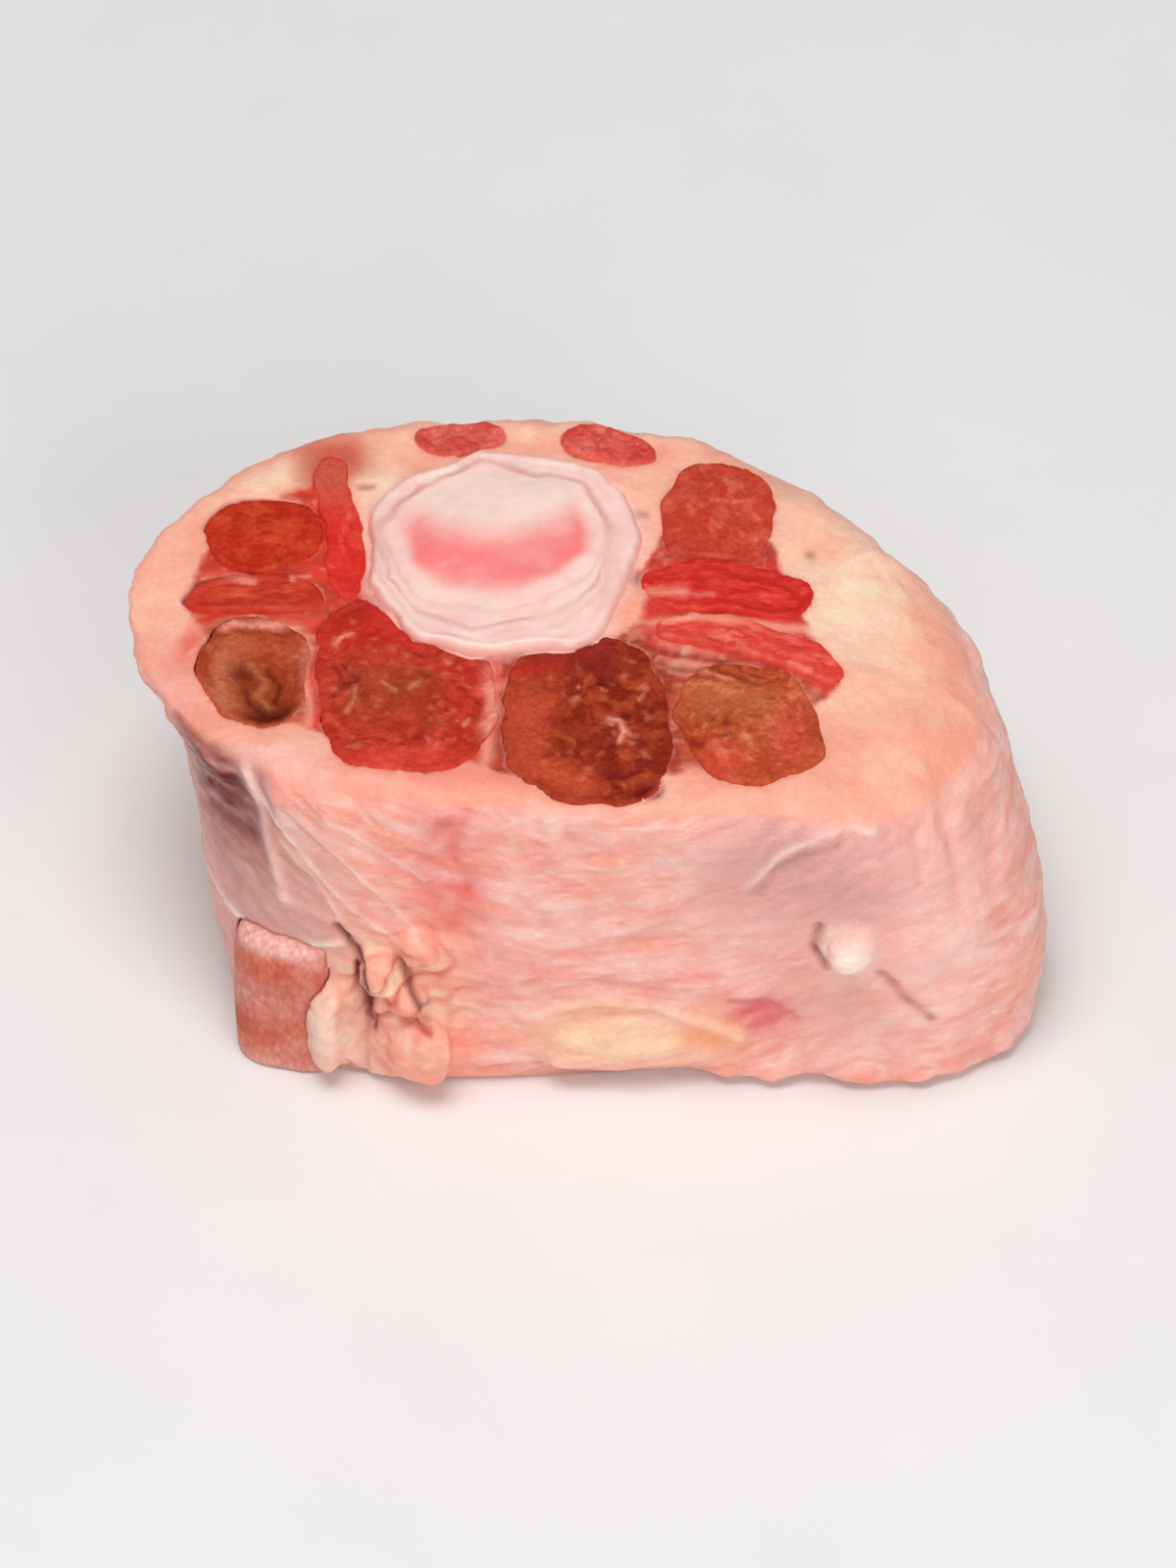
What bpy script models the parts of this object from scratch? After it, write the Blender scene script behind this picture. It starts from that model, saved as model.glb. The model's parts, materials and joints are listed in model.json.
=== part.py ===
"""A raw oxtail: one thick cross-cut segment of the tail, lying on its lower cut face.

The tail's axis is upright. Vertebra and muscles run through from cut face to cut face, and one body of
fat and connective tissue fills the room between them and wraps the side. Sizes below are in millimetres,
drawn on the upper cut face with the middle of the vertebra at (0, 0); the scene is in metres, +Z up.
Seen from the front, -Y, the segment leans: its foot stands further to the right than its upper face.
"""

import math
from typing import NamedTuple

import bmesh
import bpy
from mathutils import Vector, noise

MM = 0.001

# Whole segment
HEIGHT = 41.0
FACE_TILT = 0.05
UPPER_CENTRE = Vector((5.0, -8.0))
LOWER_CENTRE = Vector((12.0, -9.0))
LOWER_SCALE = 0.9

# Outer outlines: distance from the centre at equal turns, anticlockwise from +X
UPPER_RADII = (41.3, 32.4, 30.0, 27.8, 32.4, 39.8, 45.6, 39.2, 29.2, 28.2, 33.0, 42.2)
LOWER_RADII = (41.8, 32.5, 29.0, 28.5, 32.5, 38.5, 39.6, 43.8, 31.8, 27.2, 31.8, 47.2)

# Side of the segment
FLARE_MEAN = 5.8
FLARE_SWING = 3.3
LEAN_MEAN = 0.21
EDGE_ROUND = 2.6
SHOULDER_ROUND = 6.4
SHOULDER_ANGLE = math.radians(-20.0)
FOOT_ROUND = 1.3
FOLD_DEPTH = 0.55
LUMP_DEPTH = 0.9

# Cut faces
FACE_WAVE = 0.7
FACE_WAVE_LENGTH = 17.0
SHOULDER_FROM = 27.0
SHOULDER_DROP = 0.009
WARP = 1.0
WARP_LENGTH = 8.0
GAP = 0.32
SEPTUM = 1.3
CUTTER_REACH = 6.0

# Mesh density
AROUND = 96
WALL_ROWS = 12
EDGE_ROWS = 4
FACE_RINGS = (0.9, 0.78, 0.64, 0.5, 0.34, 0.18)
FOOT_RINGS = (0.75, 0.45)
LOBE_SIDES = 28
BONE_SIDES = 44


class Lobe(NamedTuple):
    """An egg-shaped outline on the upper face, which runs through to the lower one."""

    name: str
    x: float
    y: float
    width: float
    depth: float
    turn: float = 0.0
    square: float = 2.3
    taper: float = 0.0
    bend: float = 0.0
    tone: str = "red"


class Scrap(NamedTuple):
    """A crumb or fold of fat that stands out of the side: its place, its size, and how far out its middle is."""

    direction: float
    height: float
    width: float
    thick: float
    tall: float
    out: float


VERTEBRA = Lobe("vertebra", 0.0, -0.4, 27.4, 27.6, turn=-12.0, square=2.25)

MUSCLES = (
    Lobe("muscle_upper_left", -25.0, 2.0, 11.4, 9.2, turn=20.0, tone="brown"),
    Lobe("muscle_inner_left", -16.4, 3.6, 19.0, 3.9, turn=97.0, square=2.7, bend=0.5),
    Lobe("muscle_left", -25.2, -6.0, 13.4, 4.0, turn=4.0, square=2.6, tone="bright"),
    Lobe("muscle_left_round", -25.4, -16.6, 10.2, 13.9, turn=-4.0, square=2.5, tone="brown"),
    Lobe("muscle_lower_left", -10.1, -18.3, 17.4, 23.8, turn=2.0, square=3.0),
    Lobe("muscle_lower_middle", 8.9, -22.9, 22.6, 16.4, turn=88.0, taper=0.1, bend=-1.8, tone="brown"),
    Lobe("muscle_lower_right", 25.0, -24.2, 13.5, 16.2, turn=12.0, square=2.5, tone="brown"),
    Lobe("muscle_right_outer", 25.4, -12.9, 19.6, 4.1, turn=-19.0, square=2.5, bend=-1.7, tone="bright"),
    Lobe("muscle_right", 23.5, -5.0, 16.4, 6.1, turn=-3.0, square=2.8, tone="bright"),
    Lobe("muscle_upper_right", 22.1, 5.9, 11.4, 12.8, turn=-4.0, square=3.0, tone="brown"),
    Lobe("muscle_top_right", 11.0, 14.7, 8.6, 3.3, turn=-8.0),
    Lobe("muscle_top_left", -4.4, 16.2, 8.8, 2.9, turn=2.0),
)

# Lean bundle that shows at the foot of the side, drawn on the lower cut face
BUNDLE = Lobe("muscle_side", -21.8, -30.1, 10.4, 8.6, turn=-16.0, square=3.2, tone="brown")
BUNDLE_ROWS = ((0.0, 1.0), (8.5, 1.03), (15.0, 1.0), (16.9, 0.92), (17.6, 0.7))

# Crumbs of fat and the cleft beside them, on the side
SCRAPS = (
    Scrap(-138.4, 6.9, 6.6, 4.4, 12.4, 0.2),
    Scrap(-131.3, 16.0, 4.8, 4.4, 6.0, 0.6),
    Scrap(-125.7, 19.5, 5.0, 4.0, 4.8, 0.5),
    Scrap(-127.4, 12.4, 4.4, 3.8, 4.4, 0.5),
    Scrap(-126.6, 5.6, 9.8, 6.0, 8.8, 0.3),
    Scrap(-87.0, 5.5, 19.0, 4.0, 8.6, -0.4),
    Scrap(-49.0, 20.8, 5.4, 3.6, 5.2, 0.2),
)
CLEFT_DIRECTION = -134.2
CLEFT_HEIGHT = 8.5
CLEFT_SIZE = Vector((2.4, 8.0, 21.0))

# Relief of the vertebra's cut face: share of the way out, height over the meat around it
DISC_PROFILE = ((0.97, 0.55), (0.9, 0.95), (0.81, 0.85), (0.74, 0.8), (0.6, 1.2), (0.4, 1.6), (0.2, 1.8))
DISC_CENTRE_RISE = 1.9
DISC_CROWN = Vector((0.0, 3.6))

# Relief of a muscle's cut face, the same way
MUSCLE_PROFILE = ((0.9, 0.15), (0.6, 0.35), (0.3, 0.45))
MUSCLE_CENTRE_RISE = 0.5
MUSCLE_EDGE = -0.2

COLOURS = {
    "fat": ((0.91, 0.50, 0.39), 0.42),
    "bone": ((0.95, 0.70, 0.62), 0.35),
    "red": ((0.60, 0.085, 0.045), 0.32),
    "bright": ((0.68, 0.08, 0.05), 0.30),
    "brown": ((0.42, 0.085, 0.035), 0.34),
}


def signed_power(value, power):
    """value to a power, keeping its sign: the curve of a superellipse."""
    return math.copysign(abs(value) ** power, value)


def mix(low, high, share):
    """The value that lies share of the way from low to high."""
    return low + (high - low) * share


def heading(angle):
    """Unit vector in plan."""
    return Vector((math.cos(angle), math.sin(angle)))


def radius_at(radii, angle):
    """Smooth closed curve through radii that stand at equal turns."""
    place = (angle / math.tau % 1.0) * len(radii)
    first = int(place)
    t = place - first
    before, start, end, after = (radii[(first + step) % len(radii)] for step in (-1, 0, 1, 2))
    slope_in = (end - before) / 2
    slope_out = (after - start) / 2
    return (
        (2 * t**3 - 3 * t**2 + 1) * start
        + (t**3 - 2 * t**2 + t) * slope_in
        + (3 * t**2 - 2 * t**3) * end
        + (t**3 - t**2) * slope_out
    )


def warped(x, y):
    """A plan point moved a little, so that outlines drawn as eggs come out uneven."""
    where = Vector((x, y, 3.0)) / WARP_LENGTH
    elsewhere = where + Vector((0.0, 0.0, 6.5))
    return Vector((x + WARP * noise.noise(where), y + WARP * noise.noise(elsewhere)))


def leaned(point, z):
    """Where a point drawn on the upper face lies at height z: meat and bone lean and narrow to the foot."""
    share = z / HEIGHT
    centre = LOWER_CENTRE.lerp(UPPER_CENTRE, share)
    return centre + (point - UPPER_CENTRE) * mix(LOWER_SCALE, 1.0, share)


def face_height(x, y):
    """Height of the fat's upper face: nearly flat, a little waved, and falling off to the right."""
    wave = noise.noise(Vector((x, y, 0.0)) / FACE_WAVE_LENGTH)
    fall = SHOULDER_DROP * max(x - SHOULDER_FROM, 0.0) ** 2
    return HEIGHT + FACE_TILT * y + FACE_WAVE * wave - fall


def wall_point(angle, share):
    """Plan point on the smooth side, share of the way up. At the left, a straight lean ends in a sharp lip."""
    flare = share ** (FLARE_MEAN - FLARE_SWING * math.cos(angle))
    lean = LEAN_MEAN * (1.0 - math.cos(angle))
    lower = LOWER_CENTRE + heading(angle) * radius_at(LOWER_RADII, angle)
    upper = UPPER_CENTRE + heading(angle) * radius_at(UPPER_RADII, angle)
    return lower.lerp(upper, mix(flare, share, lean))


def wall_relief(point, z):
    """How far the side stands out: wide lumps, and flat folds that run round it."""
    lump = noise.noise(Vector((point.x, point.y, z)) / 15.0)
    fold = noise.noise(Vector((point.x / 13.0, point.y / 13.0, z / 4.2 + 7.0)))
    return LUMP_DEPTH * lump + FOLD_DEPTH * fold


def edge_round(angle):
    """Radius of the upper edge, larger on the soft shoulder at the right."""
    nearness = max(math.cos(angle - SHOULDER_ANGLE), 0.0) ** 3
    return mix(EDGE_ROUND, SHOULDER_ROUND, nearness)


def body_column(angle):
    """The outer surface's points in one direction, from the middle of the foot to the middle of the face."""
    out = heading(angle)
    rounding = edge_round(angle)
    rim = wall_point(angle, 1.0)
    rim_height = face_height(*(rim - out * rounding))
    foot = wall_point(angle, 0.0)
    foot += out * (wall_relief(foot, 0.0) - FOOT_ROUND)
    column = [(*LOWER_CENTRE.lerp(foot, ring), 0.0) for ring in reversed(FOOT_RINGS)]
    column.append((*foot, 0.0))
    for row in range(WALL_ROWS):
        z = mix(FOOT_ROUND, rim_height - rounding, row / (WALL_ROWS - 1))
        point = wall_point(angle, z / rim_height)
        column.append((*(point + out * wall_relief(point, z)), z))
    for row in range(1, EDGE_ROWS + 1):
        lean = math.pi / 2 * row / EDGE_ROWS
        z = rim_height - rounding * (1.0 - math.sin(lean))
        point = wall_point(angle, z / rim_height)
        relief = wall_relief(point, z) * math.cos(lean)
        column.append((*(point + out * (relief - rounding * (1.0 - math.cos(lean)))), z))
    edge = Vector(column[-1][:2])
    for ring in FACE_RINGS:
        point = UPPER_CENTRE.lerp(edge, ring)
        column.append((*point, face_height(*point)))
    return column


def lobe_ring(lobe, sides, grow=0.0):
    """Points of a lobe's outline on the upper face."""
    turn = math.radians(lobe.turn)
    along, across = heading(turn), heading(turn + math.pi / 2)
    ring = []
    for step in range(sides):
        angle = math.tau * step / sides
        u = signed_power(math.cos(angle), 2 / lobe.square)
        v = signed_power(math.sin(angle), 2 / lobe.square)
        reach = u * (lobe.width / 2 + grow)
        spread = v * (lobe.depth / 2 * (1.0 - lobe.taper * u) + grow) + lobe.bend * (u * u - 0.5)
        ring.append(Vector((lobe.x, lobe.y)) + along * reach + across * spread)
    return ring


def beside_bone(point, septum):
    """A plan point moved out of the vertebra, to leave a wall of fat between bone and muscle."""
    offset = point - Vector((VERTEBRA.x, VERTEBRA.y))
    turn = math.radians(VERTEBRA.turn)
    u = abs(offset.dot(heading(turn))) / (VERTEBRA.width / 2 + septum)
    v = abs(offset.dot(heading(turn + math.pi / 2))) / (VERTEBRA.depth / 2 + septum)
    depth = (u**VERTEBRA.square + v**VERTEBRA.square) ** (1 / VERTEBRA.square)
    return point + offset * (1 / depth - 1.0) if depth < 1.0 else point


def piece_outline(lobe, sides, grow=0.0):
    """A piece's uneven outline on the upper face. A muscle that meets the bone gives way to it."""
    ring = lobe_ring(lobe, sides, grow)
    if lobe is not VERTEBRA:
        ring = [beside_bone(point, SEPTUM - grow) for point in ring]
    return [warped(*point) for point in ring]


def middle_of(ring):
    """The mean of plan points."""
    return sum(ring, Vector((0.0, 0.0))) / len(ring)


def through_rings(lobe, sides, edge, profile, centre_rise, crown=Vector((0.0, 0.0))):
    """Rings and end points of a piece that runs from the foot to a relief, whose peak may be off its middle."""
    outline = piece_outline(lobe, sides)
    middle = middle_of(outline)
    peak = middle + crown
    rings = [[(*leaned(point, 0.0), 0.0) for point in outline]]
    for share, rise in ((1.0, edge), *profile):
        points = [peak.lerp(point, share) for point in outline]
        heights = [(point, face_height(*point) + rise) for point in points]
        rings.append([(*leaned(point, z), z) for point, z in heights])
    z = face_height(*peak) + centre_rise
    return (*leaned(middle, 0.0), 0.0), rings, (*leaned(peak, z), z)


def pocket_rings(lobe, sides):
    """Rings and end points of the cutter that makes room for a piece, longer than the segment is tall."""
    outline = piece_outline(lobe, sides, grow=GAP)
    middle = middle_of(outline)
    low, high = -CUTTER_REACH, HEIGHT + CUTTER_REACH
    rings = [[(*leaned(point, z), z) for point in outline] for z in (low, high)]
    return (*leaned(middle, low), low), rings, (*leaned(middle, high), high)


def bundle_rings(sides, grow=0.0, low=0.0):
    """Rings and end points of the lean bundle at the foot of the side, or of the cutter for its notch."""
    outline = lobe_ring(BUNDLE, sides, grow)
    middle = middle_of(outline)
    rings = []
    for row, (z, share) in enumerate(BUNDLE_ROWS):
        height = z + grow if row else low
        rings.append([(*middle.lerp(point, share), height) for point in outline])
    top = BUNDLE_ROWS[-1][0] + grow
    return (*middle, low), rings, (*middle, top)


def loft(name, foot, rings, top, collection, material=None):
    """A closed object through rings of equal count, each end drawn together in one point."""
    shape = bmesh.new()
    rows = [[shape.verts.new(Vector(point) * MM) for point in ring] for ring in rings]
    ends = [shape.verts.new(Vector(point) * MM) for point in (foot, top)]
    count = len(rows[0])
    for i in range(count):
        j = (i + 1) % count
        shape.faces.new((ends[0], rows[0][j], rows[0][i]))
        shape.faces.new((ends[1], rows[-1][i], rows[-1][j]))
        for lower, upper in zip(rows, rows[1:]):
            shape.faces.new((lower[i], lower[j], upper[j], upper[i]))
    bmesh.ops.recalc_face_normals(shape, faces=shape.faces)
    return finished(name, shape, collection, material)


def finished(name, shape, collection, material=None):
    """The bmesh as a smooth object in a collection."""
    mesh = bpy.data.meshes.new(name)
    shape.to_mesh(mesh)
    shape.free()
    mesh.shade_smooth()
    piece = bpy.data.objects.new(name, mesh)
    collection.objects.link(piece)
    if material:
        mesh.materials.append(material)
    return piece


def tissue(name):
    """A plain material of one of the tissues."""
    colour, roughness = COLOURS[name]
    material = bpy.data.materials.new(name)
    material.use_nodes = True
    shader = material.node_tree.nodes["Principled BSDF"]
    shader.inputs["Base Color"].default_value = (*colour, 1.0)
    shader.inputs["Roughness"].default_value = roughness
    shader.inputs["Metallic"].default_value = 0.0
    return material


def new_collection(name, hidden=False):
    """A collection under the scene's own. Helpers go in a hidden one."""
    collection = bpy.data.collections.new(name)
    bpy.context.scene.collection.children.link(collection)
    collection.hide_render = hidden
    return collection


def ball(name, centre, size, direction, collection):
    """A ball squashed to a size, its second axis pointing out of the side."""
    shape = bmesh.new()
    bmesh.ops.create_icosphere(shape, subdivisions=2, radius=0.5)
    turn = math.radians(direction) - math.pi / 2
    for vert in shape.verts:
        uneven = 1.0 + 0.3 * noise.noise(vert.co * 2.4 + centre)
        local = Vector(side * length for side, length in zip(vert.co * uneven, size))
        spun = Vector((*(heading(turn) * local.x + heading(turn + math.pi / 2) * local.y), local.z))
        vert.co = (centre + spun) * MM
    return finished(name, shape, collection)


def on_wall(direction, height, out):
    """A point that stands out of the side at a height."""
    angle = math.radians(direction)
    point = wall_point(angle, height / HEIGHT)
    point += heading(angle) * (wall_relief(point, height) + out)
    return Vector((*point, height))


def boolean(piece, operation, collection):
    """Cuts or joins a collection's objects and applies the result, which leaves them out of the model."""
    modifier = piece.modifiers.new(operation.title(), "BOOLEAN")
    modifier.operation = operation
    modifier.operand_type = "COLLECTION"
    modifier.collection = collection
    modifier.solver = "EXACT"
    with bpy.context.temp_override(object=piece):
        bpy.ops.object.modifier_apply(modifier=modifier.name)
    for helper in list(collection.objects):
        bpy.data.objects.remove(helper)


def make_fat(parts, materials):
    """Fat and connective tissue: the outer body, pierced for the pieces that run through it."""
    columns = [body_column(math.tau * step / AROUND) for step in range(AROUND)]
    rings = [list(ring) for ring in zip(*columns)]
    top = (*UPPER_CENTRE, face_height(*UPPER_CENTRE))
    fat = loft("fat", (*LOWER_CENTRE, 0.0), rings, top, parts, materials["fat"])

    scraps = new_collection("scraps", hidden=True)
    for number, scrap in enumerate(SCRAPS):
        centre = on_wall(scrap.direction, scrap.height, scrap.out)
        size = Vector((scrap.width, scrap.thick, scrap.tall))
        ball(f"scrap_{number}", centre, size, scrap.direction, scraps)
    boolean(fat, "UNION", scraps)

    pockets = new_collection("pockets", hidden=True)
    for lobe in MUSCLES:
        loft(f"pocket_{lobe.name}", *pocket_rings(lobe, LOBE_SIDES), pockets)
    loft("pocket_vertebra", *pocket_rings(VERTEBRA, BONE_SIDES), pockets)
    loft("notch", *bundle_rings(LOBE_SIDES, grow=GAP, low=-CUTTER_REACH), pockets)
    cleft = on_wall(CLEFT_DIRECTION, CLEFT_HEIGHT, 1.0)
    ball("cleft", cleft, CLEFT_SIZE, CLEFT_DIRECTION, pockets)
    boolean(fat, "DIFFERENCE", pockets)
    return fat


def make_muscle(lobe, parts, materials):
    """One muscle, with its cut end swelling a little out of the face."""
    rings = through_rings(lobe, LOBE_SIDES, MUSCLE_EDGE, MUSCLE_PROFILE, MUSCLE_CENTRE_RISE)
    return loft(lobe.name, *rings, parts, materials[lobe.tone])


def make_bundle(parts, materials):
    """The lean bundle that shows at the foot of the side."""
    return loft(BUNDLE.name, *bundle_rings(LOBE_SIDES), parts, materials[BUNDLE.tone])


def make_vertebra(parts, materials):
    """The tail bone, cut at its joint: a raised ring, a groove and a domed middle."""
    rings = through_rings(VERTEBRA, BONE_SIDES, 0.0, DISC_PROFILE, DISC_CENTRE_RISE, DISC_CROWN)
    return loft(VERTEBRA.name, *rings, parts, materials["bone"])


def centre_on_origin(pieces):
    """Moves every mesh so that the whole stands on z = 0 with the middle of its box over the origin."""
    corners = [vert.co for piece in pieces for vert in piece.data.vertices]
    middle = [(min(c[axis] for c in corners) + max(c[axis] for c in corners)) / 2 for axis in (0, 1)]
    for piece in pieces:
        for vert in piece.data.vertices:
            vert.co.x -= middle[0]
            vert.co.y -= middle[1]


def main():
    for old in list(bpy.data.objects):
        bpy.data.objects.remove(old)
    parts = new_collection("oxtail")
    materials = {name: tissue(name) for name in COLOURS}
    pieces = [make_fat(parts, materials), make_vertebra(parts, materials), make_bundle(parts, materials)]
    pieces += [make_muscle(lobe, parts, materials) for lobe in MUSCLES]
    centre_on_origin(pieces)


main()
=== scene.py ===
"""Looks of a raw oxtail segment: the fine relief, colours and finish of fat, muscles and bone.

Each CAD piece is remeshed finely, given relief by smooth noise and by named marks, painted in coats, and
shown in place of its CAD node. Lengths are in millimetres, measured in plan from the middle of the bone's
upper face and in height from the floor. They turn into metres when a mesh is written.
"""

import json
import math
from typing import NamedTuple

import bmesh
import bpy
import numpy as np
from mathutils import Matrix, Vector, noise
from mathutils.bvhtree import BVHTree


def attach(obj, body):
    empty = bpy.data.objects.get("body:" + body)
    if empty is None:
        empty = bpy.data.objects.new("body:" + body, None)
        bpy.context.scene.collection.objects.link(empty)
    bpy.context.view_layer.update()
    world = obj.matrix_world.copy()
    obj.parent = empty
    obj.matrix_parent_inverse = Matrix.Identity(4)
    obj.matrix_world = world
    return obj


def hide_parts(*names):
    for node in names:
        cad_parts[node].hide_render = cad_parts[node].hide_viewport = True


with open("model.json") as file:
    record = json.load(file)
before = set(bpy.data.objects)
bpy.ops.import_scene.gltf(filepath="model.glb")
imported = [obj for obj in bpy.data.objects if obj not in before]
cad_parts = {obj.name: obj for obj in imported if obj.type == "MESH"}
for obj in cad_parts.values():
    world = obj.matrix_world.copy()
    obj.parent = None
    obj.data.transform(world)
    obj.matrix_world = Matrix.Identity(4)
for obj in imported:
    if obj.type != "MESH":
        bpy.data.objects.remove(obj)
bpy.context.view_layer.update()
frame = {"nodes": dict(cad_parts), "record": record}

MM = 0.001
NODES = frame["nodes"]
SLOTS = {part["node"]: part["material_slot"] for part in frame["record"]["subparts"]}
MUSCLES = sorted(name for name in NODES if name.startswith("muscle_") and name != "muscle_side")

# Heights: where the upper face begins and is in full, and below which walls are hidden
FACE_FROM = 30.0
FACE_FULL = 36.0
HIDDEN_BELOW = 38.0
MEAT_HIDDEN_BELOW = 37.5

# How far the bone's foot lies from the middle of its upper face, in plan
BONE_LEAN = (7.4, -2.2)

# Mesh fineness, and rounds of smoothing that take the CAD pieces' facets away
FAT_VOXEL = 0.42
MEAT_VOXEL = 0.3
BONE_VOXEL = 0.33
FAT_ROUNDS = 4
MEAT_ROUNDS = 3
BUNDLE_ROUNDS = 6
BONE_ROUNDS = 18

# Triangles: how many the fat keeps, what share of the hidden ones muscles and bone keep, and how much
# sooner hidden faces are merged than the others
FAT_TRIANGLES = 185_000
MEAT_HIDDEN_SHARE = 0.1
HIDDEN_FIRST = 1000.0

# How far muscles and bone, the bundle, and the fat's edges grow to close the gap that the solids keep, and
# how near to a muscle or the bone the wall of its pocket is
GROWTH = 0.6
BUNDLE_GROWTH = 0.35
EDGE_GROWTH = 0.25
POCKET_REACH = 0.55


# Colours, given as screen values from 0 to 255

def linear(red, green, blue):
    """A screen colour as linear light."""
    values = np.array([red, green, blue]) / 255.0
    return np.where(values <= 0.04045, values / 12.92, ((values + 0.055) / 1.055) ** 2.4)


CREAM = linear(255, 222, 192)
WHITE = linear(255, 232, 216)
SALMON = linear(251, 166, 142)
PEACH = linear(253, 188, 164)
ROSE = linear(250, 174, 163)
PALE_ROSE = linear(253, 202, 192)
GREY_ROSE = linear(218, 158, 150)
GLASS = linear(218, 162, 156)
# Painted shade for the hollow under the overhanging left lip
UNDER_LIP_SHADE = linear(112, 18, 24)
FASCIA = linear(248, 160, 138)
BLOOD = linear(206, 44, 40)
# Dark blood, also used as painted shade in the cracks between crumbs of fat
DEEP_BLOOD_AND_SHADE = linear(116, 18, 16)
HOLLOW = linear(76, 14, 4)
THREAD = linear(226, 150, 116)
CREASE = linear(230, 130, 118)
FOLD = linear(240, 166, 152)
TAN = linear(176, 108, 84)
BONE_WHITE = linear(254, 220, 208)
BONE_ROSE = linear(250, 203, 196)
# Pink of the disc's crescent, darkened to stand in for shade
BONE_PINK_AND_SHADE = linear(252, 130, 130)
BONE_LINE = linear(206, 140, 128)


# Arrays and noise

def smoothstep(low, high, value):
    """0 at low, 1 at high, and a smooth ramp between."""
    t = np.clip((value - low) / (high - low), 0.0, 1.0)
    return t * t * (3.0 - 2.0 * t)


def wave(points, size, seed=0.0):
    """Smooth noise from about -1 to 1, with features of a size in millimetres or a size for each axis."""
    where = points / np.array(size, float) + seed * 17.31
    return np.array([noise.noise(place) for place in where.tolist()]) * 1.6


def waves(points, size, seed=0.0, octaves=3):
    """Noise summed over ever finer sizes."""
    size = np.array(size, float)
    return sum(wave(points, size / 2**octave, seed + octave) * 0.55**octave for octave in range(octaves))


def ridges(points, size, seed=0.0, sharpness=3.0):
    """Thin crests that wander, 1 on their line and 0 away from it."""
    return np.clip(1.0 - sharpness * np.abs(wave(points, size, seed)), 0.0, 1.0)


def cells(points, size, seed=0.0):
    """Cells such as bundles of fibre: how deep a point is in its cell, and the cell's tone, 0 to 1."""
    where = points / np.array(size, float) + seed * 9.7
    depth, tone = [], []
    for place in where.tolist():
        distances, centres = noise.voronoi(place)
        depth.append(distances[1] - distances[0])
        tone.append(noise.cell(centres[0] * 7.0))
    return np.array(depth), np.array(tone)


def turned(plan, x, y, degrees):
    """Plan points measured from a place, along and across a direction."""
    angle = math.radians(degrees)
    dx, dy = plan[:, 0] - x, plan[:, 1] - y
    return dx * math.cos(angle) + dy * math.sin(angle), dy * math.cos(angle) - dx * math.sin(angle)


def route_distance(plan, route):
    """How far plan points are from a line through the points of a route."""
    nearest = np.full(len(plan), np.inf)
    for start, end in zip(route, route[1:]):
        start, run = np.array(start), np.array(end) - np.array(start)
        share = np.clip((plan - start) @ run / (run @ run), 0.0, 1.0)
        nearest = np.minimum(nearest, np.linalg.norm(plan - start - share[:, None] * run, axis=1))
    return nearest


class Patch(NamedTuple):
    """A soft patch: its middle, size and turn, its colour and how strong that is, and its relief."""

    x: float
    y: float
    width: float
    depth: float
    colour: object = None
    amount: float = 0.0
    turn: float = 0.0
    rise: float = 0.0

    def weight(self, plan):
        """1 in the middle of the patch, falling off softly."""
        along, across = turned(plan, self.x, self.y, self.turn)
        return np.exp(-((2.0 * along / self.width) ** 4) / 1.5 - (2.0 * across / self.depth) ** 2)


class Strand(NamedTuple):
    """A soft line along a route: its width, its colour and how strong that is, and its relief."""

    route: tuple
    width: float
    colour: object = None
    amount: float = 0.0
    rise: float = 0.0

    def weight(self, plan):
        """1 on the line, falling off softly."""
        return np.exp(-((2.0 * route_distance(plan, self.route) / self.width) ** 2))


class Surface:
    """Points that are being painted in coats and given relief."""

    def __init__(self, count, colour):
        self.tint = np.tile(colour, (count, 1))
        self.rise = np.zeros(count)

    def coat(self, colour, amount):
        """Covers by an amount from 0 to 1 at each point."""
        self.tint += (colour - self.tint) * np.clip(amount, 0.0, 1.0)[:, None]

    def lay(self, marks, plan, mask, uneven=1.0):
        """Lays patches and strands on, where the mask is 1."""
        for mark in marks:
            weight = mark.weight(plan) * mask
            if mark.colour is not None:
                self.coat(mark.colour, weight * mark.amount * uneven)
            self.rise += weight * mark.rise


# Marks on the upper face, in plan

FAT_PATCHES = (
    Patch(-22.5, 12.0, 9.0, 4.5, CREAM, 0.9, turn=28.0),
    Patch(-34.0, 1.0, 5.0, 20.0, PEACH, 0.9),
    Patch(36.0, -4.0, 13.0, 26.0, CREAM, 0.95, turn=8.0),
    Patch(38.0, -18.0, 9.0, 12.0, PEACH, 0.6),
    Patch(30.5, 5.0, 5.0, 12.0, PEACH, 0.8),
    Patch(-17.6, 12.4, 6.4, 9.0, linear(206, 106, 84), 0.9),
    Patch(-12.4, 11.4, 4.4, 7.0, CREAM, 0.9, turn=-24.0, rise=0.3),
    Patch(0.0, -29.5, 58.0, 7.0, linear(246, 140, 122), 0.7),
    Patch(19.5, -14.6, 9.0, 4.6, linear(172, 88, 54), 0.9, turn=-14.0),
    Patch(15.6, 6.0, 3.6, 12.0, PEACH, 0.9),
    Patch(4.0, 18.2, 30.0, 3.0, CREAM, 0.55),
    Patch(-22.0, -27.0, 12.0, 5.0, PALE_ROSE, 0.5, turn=-20.0),
    Patch(16.5, -32.0, 5.0, 6.0, PEACH, 0.7, turn=10.0),
    Patch(-33.0, -15.0, 5.0, 9.0, ROSE, 0.8),
    Patch(-31.0, -11.2, 3.2, 7.5, linear(238, 92, 78), 0.8, turn=-20.0),
)

# Thin brownish flesh that reaches over the rim behind the bone, at the left
BACK_FLESH = Patch(-16.6, 15.2, 7.4, 6.4, linear(208, 96, 74), turn=10.0)

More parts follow.
